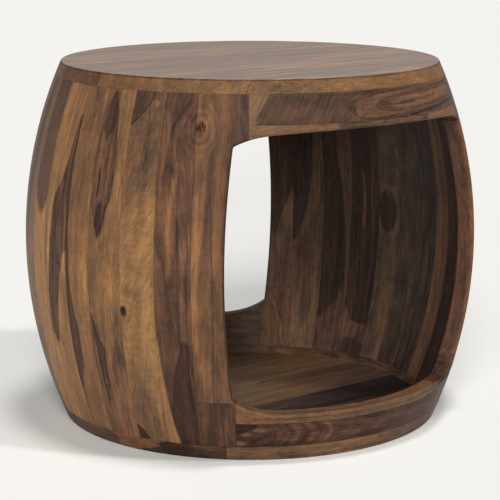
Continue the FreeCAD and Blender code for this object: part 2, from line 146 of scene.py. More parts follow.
def blendTo(field, target, mask):
    # field where the mask is 0, target where it is 1
    return field + mask * (field * -1 + target)


def addMasked(field, mask, amount):
    # mask times amount more, without any node when the amount is 0
    return field + mask * amount if amount else field


def mixColours(tree, factor, first, second, blend="MIX"):
    # the Mix node's colours are its inputs 6 and 7 and its output 2
    inputs = {0: factor, 6: first, 7: second}
    return newNode(tree, "ShaderNodeMix", inputs, data_type="RGBA", blend_type=blend).outputs[2]


def makeGroup(name, inputs, build):
    # a shader group that many materials share; build turns its input fields into named output fields
    group = bpy.data.node_groups.new(name, "ShaderNodeTree")
    for key in inputs:
        group.interface.new_socket(key, in_out="INPUT", socket_type="NodeSocketFloat")
    source = newNode(group, "NodeGroupInput")
    results = build(group, *(Field(group, source.outputs[key]) for key in inputs))
    for key in results:
        group.interface.new_socket(key, in_out="OUTPUT", socket_type="NodeSocketFloat")
    newNode(group, "NodeGroupOutput", results)
    return group


def useGroup(tree, group, *values):
    # a group's outputs by their names, with values for its inputs in order
    node = newNode(tree, "ShaderNodeGroup", enumerate(values), node_tree=group)
    return {socket.name: Field(tree, socket) for socket in node.outputs}


# the wood

sheesham = {
    # colour of the wood by its tone, from heartwood streaks at 0 to pale sapwood at 1
    "colours": [
        (0.00, (26, 21, 19)), (0.15, (51, 41, 36)), (0.30, (79, 61, 50)), (0.45, (105, 80, 60)),
        (0.60, (128, 97, 67)), (0.75, (150, 114, 75)), (0.90, (172, 132, 85)), (1.00, (191, 152, 104)),
    ],
    "golden": (1.05, 1.03, 0.93),  # what wood without red multiplies that colour by
    "redder": (1.14, 0.90, 0.87),  # what fully red wood multiplies it by
    "cooler": (0.84, 1.0, 1.26),   # what wood that the light hardly reaches multiplies both by
    "paintedSheen": (177, 162, 153),       # colour of the painted sheen that the flat top fades to
    "pore": 0.12,                  # how much darker a pore is
    "texture": (0.9, 0.55),        # strength of the fine grain: the first times the tone, plus the second
    "satin": 0.50,                 # roughness of the lacquer
    "satinOnFibres": 0.04,         # how much more it is on a fibre
    "satinInPores": 0.12,          # how much more it is in a pore
    "bending": 1.46,               # index of refraction of the lacquer
    "sheen": (0.80, 0.62, 0.45),   # colour of its reflection, warmed by the wood under it
    "relief": 0.00022,             # how deep a pore is, m
    "fibreRelief": 0.35,           # how high a fibre stands, against that
    "reliefShare": 0.6,            # how much of the relief the light shows
    "seam": (0.55, 0.11),          # half width of the line where two pieces meet and of its core, mm
    "seamJitter": 0.15,            # how uneven it is, mm
    "outer": (7.0, 2.0),           # depths between which the outer face begins, mm
    "flat": (0.6, 0.1),            # depths between which the flat top begins, mm
    "rimDepth": 1.1,               # depth of the painted shade line under the rim, mm
    "rimLine": (1.6, 0.5),         # its half width and that of its core, mm
    # how much of each noise is in the share of red, and in the grain that the flat top bares
    "redBy": {"clouds": 0.3, "streaks": 0.25, "veins": 0.15},
    "baredBy": {"streaks": 1.0, "veins": 0.5, "fibres": 0.3, "clouds": 0.4},
}

# what the wood is made of: size of its lumps over the grain, along it and under the skin in mm, step of the
# seed, detail and roughness of the noise
grainNoises = {
    "slow": ((34, 150, 40), 0, 1.0, 0.5),
    "curls": ((10, 8, 12), 19, 1.0, 0.5),
    "jitter": ((2.6, 55, 4), 3, 2.0, 0.5),
    "fray": ((1.5, 60, 3), 13, 2.0, 0.5),
    "clouds": ((15, 42, 20), 17, 2.0, 0.5),
    "streaks": ((7, 150, 8), 5, 3.0, 0.55),
    "veins": ((2.4, 50, 3), 15, 3.0, 0.65),
    "fibres": ((1.2, 16, 1.6), 7, 2.0, 0.6),
    "ripple": ((13, 5, 20), 11, 2.0, 0.5),
    "specks": ((0.55, 6, 0.7), 9, 1.0, 0.5),
}
poreLimits = (0.55, 0.95)    # a speck under the first is no pore, one over the second is a full one
jitterPush = 0.7             # how far the jitter moves a fibre, mm
slowClouds = 0.5             # share of the slow noise in the clouds

plainLook = {
    "tone": 0.45,    # overall tone of the piece
    "red": 0.35,     # share of red
    "cool": 0.0,     # how far it turns from gold to a neutral brown; a high value is the tint of painted shade
    "stretch": 1.0,  # how much longer its fibres and streaks are
    "waver": 5.0,    # how far its grain wanders sideways, mm
    "wave": 0.8,     # how far its fibres curl, mm
    "cloud": 0.13,   # strength of the soft patches
    "streak": 0.12,  # strength of the broad streaks
    "vein": 0.11,    # strength of the narrow streaks
    "fibre": 0.18,   # strength of the fine fibres
    "ripple": 0.04,  # strength of the bands over the grain
    "fray": 7.0,     # how far the edge of a mark follows the fibres, mm
    "gloss": 0.16,   # strength of the lacquer's reflection
    "paintedSheen": 0.0,     # how much paler and greyer the flat top is, a painted sheen
    "bared": 0.0,    # how much more its grain shows there
    "joint": 0.14,   # darkness of the line round the piece
    "outer": 0.0,    # how much lighter its outer face is than the rest, leaving painted shade on the inner face
    "drift": [],     # (place along the grain, how far its fibres have moved over it in mm)
    "stripes": [],   # (place over the grain, change of tone)
    "length": [],    # (place along the grain, change of tone)
    "marks": [],
}

# marks: a knot has a place (over the grain, along it) and a size in mm, a patch a place and its reach both
# ways in mm, a flame rows of (place along, edge, edge), a line rows of (place along, middle) and its half
# width in mm; turned ones run over the grain. Knots and flames have a tone of their own, patches and lines
# change the tone under them, and red is what a mark adds to the share of red
plainMarks = {
    "knot": {
        "red": 0.3,
        "long": 1.5,      # how much longer it is along the grain
        "turns": 2.2,     # rings in one knot size
        "reach": 3.0,     # how far the rings go, in knot sizes
        "swirl": 0.12,    # strength of the rings
        "halo": 0.1,      # how much lighter the wood between them is, times that
        "depth": 0.9,     # how far its core covers the wood
    },
    "patch": {"red": 0.0},
    "flame": {
        "red": 0.25,
        "turned": False,
        "ragged": 0.8,    # unevenness of its edges, mm
        "point": 0.4,     # how wide it may be against the distance to its tip
        "soft": 1.2,      # how soft its edge is, mm
        "grain": 0.12,    # strength of the streaks in it
        "depth": 0.88,    # how far it covers the wood
        "rim": 0.0,       # darkness of the line along its edge
        "rimWidth": 2.0,  # half width of that line, mm
    },
    "line": {"red": 0.0, "turned": False, "ragged": 0.8, "point": 0.4, "soft": 1.2},
}
knotShape = {
    "uneven": 0.08,      # unevenness of its outline, in squared knot sizes
    "ringsUneven": 0.9,  # unevenness of its rings, radians
    "ringsFrom": 0.6,    # where its rings are full, in knot sizes
    "coreTo": 0.45,      # where its core stops being full, in knot sizes
    "push": 0.8,         # share of its distance by which a fibre gives way
    "pushShare": 1.8,    # how much narrower than its rings that is
}
patchShape = {"uneven": 2.0, "full": 0.1}    # in mm, and as a share of its reach
# the line along a flame's edge: how far inside it runs and its core, in half widths, and its two darknesses
flameRim = {"inside": 0.6, "core": 0.15, "even": 0.75, "uneven": 0.45}


def knot(place, size, tone, **own):
    return {"kind": "knot", "at": place, "size": size, "tone": tone, **plainMarks["knot"], **own}


def patch(place, reach, tone, **own):
    return {"kind": "patch", "at": place, "reach": reach, "tone": tone, **plainMarks["patch"], **own}


def flame(rows, tone, **own):
    return {"kind": "flame", "at": rows, "tone": tone, **plainMarks["flame"], **own}


def line(rows, width, tone, **own):
    return {"kind": "line", "at": rows, "width": width, "tone": tone, **plainMarks["line"], **own}


def findPlaces(tree, turn):
    # mm round the drum from azimuth 0, height, x, y, depth under the drum's skin and depth under its top:
    # depth = bellyRadius - hypot(r + bellyRadius - girthRadius, z - girthHeight)
    point = newNode(tree, "ShaderNodeTexCoord").outputs["Object"]
    turned = newNode(tree, "ShaderNodeCombineXYZ", {2: turn * -1}).outputs[0]
    scale = (mmPerMetre, mmPerMetre, mmPerMetre)
    mapping = newNode(tree, "ShaderNodeMapping", {0: point, "Rotation": turned, "Scale": scale})
    split = newNode(tree, "ShaderNodeSeparateXYZ", {0: mapping.outputs[0]})
    x, y, z = (Field(tree, socket) for socket in split.outputs)
    outward = (x * x + y * y).math("SQRT") + (drum["bellyRadius"] - drum["girthRadius"])
    upward = z + -drum["girthHeight"]
    depth = (outward * outward + upward * upward).math("SQRT") * -1 + drum["bellyRadius"]
    azimuth = (x.math("ARCTAN2", y * -1) + turn) * drum["girthRadius"]
    return {"azimuth": azimuth, "height": z, "x": x, "y": y, "depth": depth, "below": z * -1 + drum["height"]}


def findGrain(tree, across, along, skin, pushed, seed, waver, wave):
    # noises of every size that the wood is made of; pushed is where a fibre is, over the grain
    def make(kind, over):
        sizes, step, detail, roughness = grainNoises[kind]
        return noise(tree, (over, along, skin), sizes, seed + step, detail, roughness)

    slow, curls, jitter, fray = (make(kind, across) for kind in ("slow", "curls", "jitter", "fray"))
    pushed = pushed + slow * waver + jitter * jitterPush + curls * wave
    fine = {kind: make(kind, pushed) for kind in ("streaks", "veins", "fibres", "ripple")}
    pores = eased(make("specks", pushed), *poreLimits)
    clouds = make("clouds", across) + slow * slowClouds
    return {"fibreAt": pushed, "jitter": jitter, "fray": fray, "clouds": clouds, "pores": pores, **fine}


def findEdge(tree, side, run, middle, half, start, end, jitter, ragged, point, soft):
    # mm inside a flame's edges or a line's width: half - |side - middle|, cut off at both ends
    ends = (run - start).math("MINIMUM", end - run)
    inside = (half - abs(side - middle) + jitter * ragged).math("MINIMUM", ends * point)
    return {"inside": inside, "mask": eased(inside, soft * -1, soft)}


def findPatch(tree, across, along, atAcross, atAlong, reachAcross, reachAlong, jitter):
    # a soft, uneven oval: 1 at its middle, 0 past its reach
    sideways = (across - atAcross + jitter * patchShape["uneven"]) / reachAcross
    lengthways = (along - atAlong) / reachAlong
    radius = (sideways * sideways + lengthways * lengthways).math("SQRT")
    return {"mask": eased(radius, 1.0, patchShape["full"])}


def findKnot(tree, across, along, atAcross, atAlong, size, long, jitter, streaks, turns, reach):
    # radius is the distance from a knot's heart in knot sizes, longer with the grain and a little uneven;
    # rings are half the sine of radius * turns round the circle, halo fades out to reach and core to 1
    sideways = (across - atAcross) / size
    lengthways = (along - atAlong) / (size * long)
    square = sideways * sideways + lengthways * lengthways + jitter * knotShape["uneven"]
    radius = square.math("MAXIMUM", 0.0).math("SQRT")
    rings = (radius * turns * math.tau + jitter * knotShape["ringsUneven"] + streaks).math("SINE") * 0.5
    halo = eased(radius, reach, knotShape["ringsFrom"])
    return {"rings": rings, "halo": halo, "core": eased(radius, 1.0, knotShape["coreTo"])}


def findPush(tree, across, along, atAcross, atAlong, long, spread):
    # how far a fibre passes beside a knot instead of through it: a share of its own distance, times
    # exp(-distance ^ 2 / spread)
    sideways = across - atAcross
    lengthways = (along - atAlong) / long
    near = ((sideways * sideways + lengthways * lengthways) / spread * -1).math("EXPONENT")
    return {"push": sideways * near * -knotShape["push"]}


groups = {
    name: makeGroup(name, inputs.split(), build)
    for name, inputs, build in (
        ("places", "turn", findPlaces),
        ("grain", "across along skin pushed seed waver wave", findGrain),
        ("edge", "side run middle half start end jitter ragged point soft", findEdge),
        ("patch", "across along atAcross atAlong reachAcross reachAlong jitter", findPatch),
        ("knot", "across along atAcross atAlong size long jitter streaks turns reach", findKnot),
        ("push", "across along atAcross atAlong long spread", findPush),
    )
}


def spotOf(mark, across, along):
    # where a knot or a patch stands, in mm over and along the grain
    return mark["at"][0] * across.scale, mark["at"][1] * along.scale


def layKnot(tone, red, mark, across, along, grain):
    # rings in the wood around, then the core in the mark's own tone
    found = useGroup(tone.tree, groups["knot"], across.at, grain["along"], *spotOf(mark, across, along),
                     mark["size"], mark["long"], grain["jitter"], grain["streaks"], mark["turns"],
                     mark["reach"])
    tone = tone + (found["rings"] + mark["halo"]) * found["halo"] * mark["swirl"]
    return blendTo(tone, mark["tone"], found["core"] * mark["depth"]), red + found["halo"] * mark["red"]


def layPatch(tone, red, mark, across, along, grain):
    mask = useGroup(tone.tree, groups["patch"], across.at, along.at, *spotOf(mark, across, along),
                    *mark["reach"], grain["jitter"])["mask"]
    return tone + mask * mark["tone"], addMasked(red, mask, mark["red"])


def findStreak(mark, across, along, grain):
    # a flame or a line: its middle, and for a flame half its width too, are smooth curves through its rows
    run, side = (across, along) if mark["turned"] else (along, across)
    rows = mark["at"]
    places = [row[0] * run.scale for row in rows]
    middle = through(run, [(row[0], (row[1] + row[-1]) / 2 * side.scale) for row in rows])
    if mark["kind"] == "line":
        half = mark["width"]
    else:
        half = through(run, [(row[0], (row[2] - row[1]) / 2 * side.scale) for row in rows])
    return useGroup(run.at.tree, groups["edge"], side.at, run.at, middle, half, min(places), max(places),
                    grain["jitter"], mark["ragged"], mark["point"], mark["soft"])


def layLine(tone, red, mark, across, along, grain):
    mask = findStreak(mark, across, along, grain)["mask"]
    return tone + mask * mark["tone"], addMasked(red, mask, mark["red"])


def layFlame(tone, red, mark, across, along, grain):
    # heartwood with its own streaks; the line by its edge takes (even + uneven * jitter) * rim off the tone
    streak = findStreak(mark, across, along, grain)
    target = grain["streaks"] * mark["grain"] + mark["tone"]
    tone = blendTo(tone, target, streak["mask"] * mark["depth"])
    if mark["rim"]:
        width = mark["rimWidth"]
        rim = eased(abs(streak["inside"] + -width * flameRim["inside"]), width, width * flameRim["core"])
        uneven, even = (flameRim[key] * mark["rim"] for key in ("uneven", "even"))
        tone = tone - rim * (grain["jitter"] * uneven + even)
    return tone, red + streak["mask"] * mark["red"]


layers = {"knot": layKnot, "patch": layPatch, "flame": layFlame, "line": layLine}


def cooled(hue, cool):
    # a hue times the cooler one, as far as cool says
    return (*(value * (1 + (cold - 1) * cool) for value, cold in zip(hue, sheesham["cooler"])), 1.0)


def finishWood(tree, tone, red, cool, paintedSheen, fibres, pores, gloss):
    # tone to colour through the ramp, times a hue between golden and redder, which cool turns towards the
    # neutral tint of painted shade; then gloss and relief
    ramp = newNode(tree, "ShaderNodeValToRGB", {0: tone})
    stops = ramp.color_ramp.elements
    for _ in sheesham["colours"][2:]:
        stops.new(0.5)
    for stop, (place, colour) in zip(stops, sheesham["colours"]):
        stop.position = place
        stop.color = linear(*colour)
    hue = mixColours(tree, red, cooled(sheesham["golden"], cool), cooled(sheesham["redder"], cool))
    colour = mixColours(tree, 1.0, ramp.outputs[0], hue, "MULTIPLY")
    # the flat top fades towards the colour of a painted sheen
    if paintedSheen:
        colour = mixColours(tree, paintedSheen, colour, linear(*sheesham["paintedSheen"]))
    bump = newNode(tree, "ShaderNodeBump", {
        "Strength": sheesham["reliefShare"],
        "Distance": sheesham["relief"],
        "Height": fibres * sheesham["fibreRelief"] - pores,
    })
    roughness = fibres * sheesham["satinOnFibres"] + pores * sheesham["satinInPores"] + sheesham["satin"]
    shader = newNode(tree, "ShaderNodeBsdfPrincipled", {
        "Base Color": colour,
        "Roughness": roughness,
        "IOR": sheesham["bending"],
        "Normal": bump.outputs[0],
        "Specular IOR Level": gloss,
        "Specular Tint": (*sheesham["sheen"], 1.0),
    })
    newNode(tree, "ShaderNodeOutputMaterial", {0: shader.outputs[0]})


def weighed(grain, shares):
    # the sum of the named noises, each times its share
    return sum(grain[kind] * share for kind, share in shares.items())


def pushAside(look, across, along):
    # where the fibres are over the grain: their place less the piece's drift, and passing beside its knots,
    # over a spread of 2 * (size * reach / pushShare) ^ 2
    pushed = across.at
    if look["drift"]:
        pushed = pushed - through(along, look["drift"])
    for mark in look["marks"]:
        if mark["kind"] == "knot":
            spread = 2 * (mark["size"] * mark["reach"] / knotShape["pushShare"]) ** 2
            push = useGroup(pushed.tree, groups["push"], across.at, along.at, *spotOf(mark, across, along),
                            mark["long"], spread)
            pushed = pushed + push["push"]
    return pushed


def insideLimits(way, low, high):
    # mm to the nearer of two limits
    return (way.at + -low * way.scale).math("MINIMUM", way.at * -1 + high * way.scale)


def paintTopSheenAndRim(tone, look, grain, below):
    # the flat top bares more of its grain, shines, turns paler and greyer with a painted sheen, and a painted
    # shade line runs under its rim
    flat = eased(below, *sheesham["flat"])
    tone = tone + flat * weighed(grain, sheesham["baredBy"]) * look["bared"]
    # painted shade: a dark line along the edge just under the rim
    tone = tone - eased(abs(below + -sheesham["rimDepth"]), *sheesham["rimLine"]) * look["joint"]
    gloss = flat * (look["gloss"] - plainLook["gloss"]) + plainLook["gloss"]
    return tone, flat * look["paintedSheen"], gloss


def dressPiece(name, look, seed, middle, across, along, edges, ends):
    # across and along say which of azimuth, height, x and y run over and with the grain; edges are the
    # piece's own limits over the grain and ends those along it
    look = {**plainLook, **look}
    material = bpy.data.materials.new(name + "_wood")
    material.use_nodes = True
    tree = material.node_tree
    tree.nodes.clear()
    places = useGroup(tree, groups["places"], math.radians(middle))
    skin = places["depth" if "azimuth" in (across, along) else "below"]
    across, along = (Way(places[kind], mmPerDegree if kind == "azimuth" else 1.0) for kind in (across, along))

    grain = useGroup(tree, groups["grain"], across.at, along.at * (1 / look["stretch"]), skin,
                     pushAside(look, across, along), seed, look["waver"], look["wave"])
    grain["along"] = along.at

    tone = grain["streaks"] * look["streak"] + look["tone"] + grain["clouds"] * look["cloud"]
    red = weighed(grain, sheesham["redBy"]) + look["red"]
    if look["stripes"]:
        tone = tone + through(Way(grain["fibreAt"], across.scale), look["stripes"])
    if look["length"]:
        tone = tone + through(along, look["length"])
    frayed = Way(along.at + grain["fray"] * look["fray"], along.scale)
    for mark in look["marks"]:
        tone, red = layers[mark["kind"]](tone, red, mark, across, frayed, grain)

    texture = (grain["veins"] * look["vein"] + grain["fibres"] * look["fibre"]
               + grain["ripple"] * look["ripple"] - grain["pores"] * sheesham["pore"])
    tone = tone + texture * (tone * sheesham["texture"][0] + sheesham["texture"][1])
    inner = insideLimits(across, *edges).math("MINIMUM", insideLimits(along, *ends))
    tone = tone - eased(inner + grain["jitter"] * sheesham["seamJitter"], *sheesham["seam"]) * look["joint"]
    # the outer face lighter, so that the darker inner face carries painted shade
    if look["outer"]:
        tone = tone + eased(places["depth"], *sheesham["outer"]) * look["outer"]
    paintedSheen, gloss = None, look["gloss"]
    # on the flat top a painted sheen makes the colour paler and greyer
    if look["paintedSheen"]:
        tone, paintedSheen, gloss = paintTopSheenAndRim(tone, look, grain, places["below"])
    finishWood(tree, tone, red, look["cool"], paintedSheen, grain["fibres"], grain["pores"], gloss)
    for slot in nodes[name].material_slots:
        slot.material = material


def wallSpan(name):
    # middle, lowest and highest azimuth of a piece, counted from its own middle so that the back has no jump
    mesh = nodes[name].data
    points = np.zeros(len(mesh.vertices) * 3)
    mesh.vertices.foreach_get("co", points)
    x, y = points.reshape(-1, 3).T[:2]
    middle = math.atan2(x.mean(), -y.mean())
    sine, cosine = math.sin(middle), math.cos(middle)
    turn = np.arctan2(x * cosine + y * sine, x * sine - y * cosine)
    return [math.degrees(angle) for angle in (middle, middle + turn.min(), middle + turn.max())]


def heightSpan(name):
    return [mmPerMetre * corner[2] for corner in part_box(name)]


def dressUpright(name, look, seed):
    # a piece of the wall whose grain stands
    middle, low, high = wallSpan(name)
    dressPiece(name, look, seed, middle, "azimuth", "height", (low, high), heightSpan(name))


def dressLying(name, look, seed):
    # a piece of the wall whose grain runs round the drum
    middle, low, high = wallSpan(name)
    dressPiece(name, look, seed, middle, "height", "azimuth", heightSpan(name), (low, high))


firstSeeds = {"left": 0, "right": 40, "corner": 80, "lying": 100, "headerEnd": 130, "top_board": 150,
              "floor_board": 160, "dowels": 170}

# the wall, with places in degrees of azimuth over the grain and mm of height along it

# the knot on the seam between the first two left staves
seamKnot = knot((-51.2, 395), 5.5, 0.17, long=1.25, turns=0.75, reach=6.5, swirl=0.13, halo=-0.3, depth=0.85)

leftStaves = {
    1: {
        "tone": 0.37, "red": 0.45, "cool": -0.2, "fibre": 0.12, "waver": 3, "streak": 0.07, "vein": 0.07,
        "drift": [(60, -16), (200, -9), (330, 0), (434, 0)],
        "stripes": [(-52.1, 0), (-51, 0.12), (-49.7, 0.1), (-48.6, -0.07), (-46, 0), (-44, -0.08),
                    (-42, -0.03)],
        "length": [(20, -0.04), (120, 0.02), (240, 0.06), (340, -0.03), (434, -0.02)],
        "marks": [
            patch((-50.5, 340), (8, 24), -0.1, red=0.5),
            patch((-44.5, 350), (9, 60), -0.05, red=0.4),
            patch((-51, 393), (13, 26), -0.07, red=0.2),
            patch((-50.4, 424), (9, 34), -0.1, red=0.2),
            line([(60, -47.6), (200, -47.2), (330, -47.8)], 1, -0.14),
            line([(140, -51.2), (230, -50.9), (320, -51)], 1.6, 0.12, soft=2),
            seamKnot,
            flame([(394, -52.2, -50), (397, -52.2, -49.4), (400, -51.4, -50.4)], 0.03, point=1, soft=0.6),
        ],
    },
    2: {
        "tone": 0.28, "red": 0.7, "fibre": 0.12, "waver": 4, "streak": 0.1,
        "drift": [(60, 30), (160, 24), (260, 12), (340, 0), (434, 0)],
        "length": [(20, -0.08), (90, -0.04), (180, 0.02), (300, 0.05), (370, 0), (434, -0.02)],
        "marks": [
            flame([(20, -59, -51.5), (60, -58.8, -51.5), (110, -57, -52), (150, -55, -53)], 0.16, rim=0.04,
                  ragged=1.5),
            flame([(15, -62, -57.5), (50, -62, -59), (100, -62, -60), (150, -61.4, -61)], 0.62, soft=1,
                  red=-0.5),
            line([(230, -57.3), (285, -57.8), (340, -56.8)], 2.4, 0.17, soft=3, red=-0.3),
            line([(190, -54.4), (230, -54.2), (272, -54.9)], 1.8, 0.15, soft=2.4, red=-0.3),
            line([(350, -59.9), (385, -59.3), (412, -60)], 2, 0.16, soft=2.4, red=-0.2),
            line([(150, -55.5), (250, -55.4), (320, -56), (352, -57.6)], 1.2, -0.1, soft=1.4),
            line([(60, -53.2), (140, -53.4), (260, -53)], 1, -0.09),
            line([(345, -57.6), (365, -59.2), (385, -59), (405, -57.2), (425, -54.6)], 2.2, -0.09,
                 soft=2.2),
            line([(350, -56), (372, -57.4), (390, -57), (410, -55)], 1.6, 0.1, soft=2),
            seamKnot,
        ],
    },
    3: {
        "tone": 0.46, "red": 0.2, "waver": 6, "wave": 2, "ripple": 0.08, "fibre": 0.16, "cloud": 0.1,
        "vein": 0.1, "streak": 0.07, "fray": 3,
        "drift": [(100, 0), (180, 6), (260, 40), (340, 78), (434, 84)],
        "length": [(20, -0.08), (80, -0.02), (150, 0.1), (220, 0.1), (300, 0.02), (345, -0.1), (434, -0.1)],
        "marks": [
            flame([(396, -71, -70.2), (402, -71, -68.8), (414, -71, -66.4), (425, -71, -64.6),
                   (440, -71, -64.2)], 0.21, rim=0.12, rimWidth=1.8, point=1.2),
            line([(60, -62.6), (150, -63.2), (220, -63), (320, -61.6)], 8, 0.11, soft=6),
            line([(180, -67.6), (240, -65.8), (300, -62.6)], 4, 0.08, soft=4),
            line([(215, -70), (262, -68.2), (305, -66.2)], 3, 0.09, soft=3),
            patch((-68.5, 245), (10, 30), -0.06),
            patch((-63, 325), (11, 55), 0.06),
            patch((-67.3, 206), (18, 9), -0.13),
            patch((-66, 72), (16, 26), -0.08, red=0.3),
            knot((-69.7, 182), 5.4, 0.02, turns=1, reach=4.2, swirl=0.08, halo=0.5, depth=0.97, red=-0.1),
            patch((-61.8, 217), (3, 5), -0.16),
            flame([(15, -70.6, -66.6), (25, -70.6, -67.6), (38, -70.6, -70)], 0.1, point=1, depth=0.95),
            patch((-63.7, 421), (6, 7), 0.16),
            patch((-62.5, 60), (4, 34), 0.1),
        ],
    },
    4: {
        "tone": 0.45, "red": 0.4, "waver": 4,
        "stripes": [(-80.1, -0.05), (-77, 0), (-74, 0.04), (-70.5, 0.02)],
        "length": [(20, -0.05), (100, -0.08), (140, -0.04), (200, 0.04), (300, 0.02), (434, 0.02)],
        "marks": [
            patch((-72.2, 325), (6.5, 50), 0.17, red=-0.2),
            patch((-72.8, 215), (12, 45), 0.08),
            patch((-73, 128), (14, 24), -0.13, red=0.5),
            patch((-76.5, 45), (16, 26), 0.06),
            flame([(267, -77.4, -76.8), (295, -79.5, -74.9), (321, -79.7, -73.6), (355, -80, -73.5),
                   (389, -79.7, -74.4), (416, -79.2, -75.4), (432, -77.8, -76.6)], 0.36, rim=0.17,
                  rimWidth=2.2, depth=0.85, grain=0.16),
            line([(285, -75.8), (321, -74.6), (355, -74.4), (389, -75.2), (422, -76.4)], 2.6, -0.15,
                 soft=1.6),
            flame([(264, -77.4, -76.8), (280, -78.4, -75.9), (306, -77.8, -76.6)], 0.13),
            flame([(378, -77.6, -77), (392, -79.2, -75.6), (412, -79, -75.6), (430, -77.8, -76.8)], 0.18),
            line([(312, -78.2), (328, -78), (344, -78.2)], 1.3, -0.26, soft=0.8),
            flame([(60, -78.6, -78), (90, -78.7, -76.9), (125, -79.1, -76.5), (150, -79.6, -78.4),
                   (170, -79.9, -79.3)], 0.19, rim=0.1, red=0.4),
            patch((-77.6, 88), (3, 5), 0.16),
            line([(19, -72.5), (60, -73.6), (110, -74.2)], 1.6, -0.08, soft=2),
        ],
    },
    5: {
        "tone": 0.47, "red": 0.4, "waver": 3,
        "stripes": [(-88.7, -0.04), (-86.5, 0.04), (-84.6, -0.03), (-83, 0.03), (-81.2, 0.06),
                    (-80.1, -0.06)],
        "length": [(20, -0.04), (120, -0.02), (210, 0.07), (300, -0.02), (434, -0.03)],
        "marks": [
            patch((-81.4, 210), (5, 36), 0.14, red=-0.3),
            patch((-84, 186), (12, 22), 0.06),
            patch((-83, 75), (12, 30), -0.07, red=0.3),
            patch((-84, 30), (14, 12), 0.08),
            line([(70, -81.8), (120, -82.6), (160, -82.8)], 1.2, 0.1, soft=1.6),
            flame([(70, -88.6, -87.9), (107, -89, -85.5), (145, -89, -85.2), (180, -89, -86.6),
                   (250, -89, -87.6), (330, -89, -88), (400, -89, -88.2)], 0.2, rim=0.08, rimWidth=1.4,
                  red=0.45),
        ],
    },
    6: {
        "tone": 0.59, "red": 0.35, "waver": 3,
        "stripes": [(-98.7, -0.03), (-97, 0.08), (-95.5, 0.03), (-92, -0.02), (-88.7, 0)],
        "length": [(20, 0), (120, 0.04), (280, 0), (434, -0.05)],
        "marks": [
            line([(200, -97), (275, -96.6), (312, -95.6)], 1.8, 0.16, soft=2, red=-0.3),
            patch((-92, 175), (8, 40), 0.1, red=-0.2),
            flame([(122, -96, -95.2), (131, -97.6, -94.6), (178, -97.4, -92.8), (220, -96.5, -91),
                   (232, -96.2, -90.4), (250, -95.9, -88), (260, -95.5, -88), (300, -95, -88),
                   (316, -93, -88), (341, -91, -88), (370, -90, -88), (400, -89.2, -88.4)], 0.23, rim=0.12,
                  grain=0.2, red=0.45),
            patch((-91.5, 285), (9, 34), -0.05, red=0.1),
            line([(215, -89.8), (260, -89.2), (292, -89.4)], 1.6, 0.24, red=-0.4),
            line([(150, -96), (200, -95.2), (245, -94.2), (280, -92.8), (318, -91)], 1, -0.16, soft=0.8),
            patch((-91.5, 223), (8, 4), -0.14),
            patch((-93.5, 122), (4, 11), -0.18),
            patch((-92, 55), (10, 14), -0.05, red=0.5),
        ],
    },
    7: {
        "tone": 0.72, "red": 0.4, "waver": 3, "fray": 12, "streak": 0.16,
        "length": [(20, 0), (120, -0.04), (200, 0.02), (434, 0)],
        "marks": [
            flame([(276, -103, -101.5), (298, -106.5, -98.9), (330, -107.3, -98.4), (440, -108, -98)], 0.23,
                  rim=0.06, ragged=2, depth=0.82),
            line([(215, -104.2), (250, -104.6), (290, -104.8)], 1.2, -0.14),
            line([(150, -101.2), (200, -101.4), (240, -101)], 1.2, -0.1),
            patch((-106, 270), (3, 16), -0.12),
            patch((-100, 262), (3, 18), -0.12),
            patch((-99.5, 120), (6, 30), 0.07),
        ],
    },
    8: {"tone": 0.48, "red": 0.3},
    9: {"tone": 0.44, "red": 0.3},
    10: {"tone": 0.38, "red": 0.5},
}
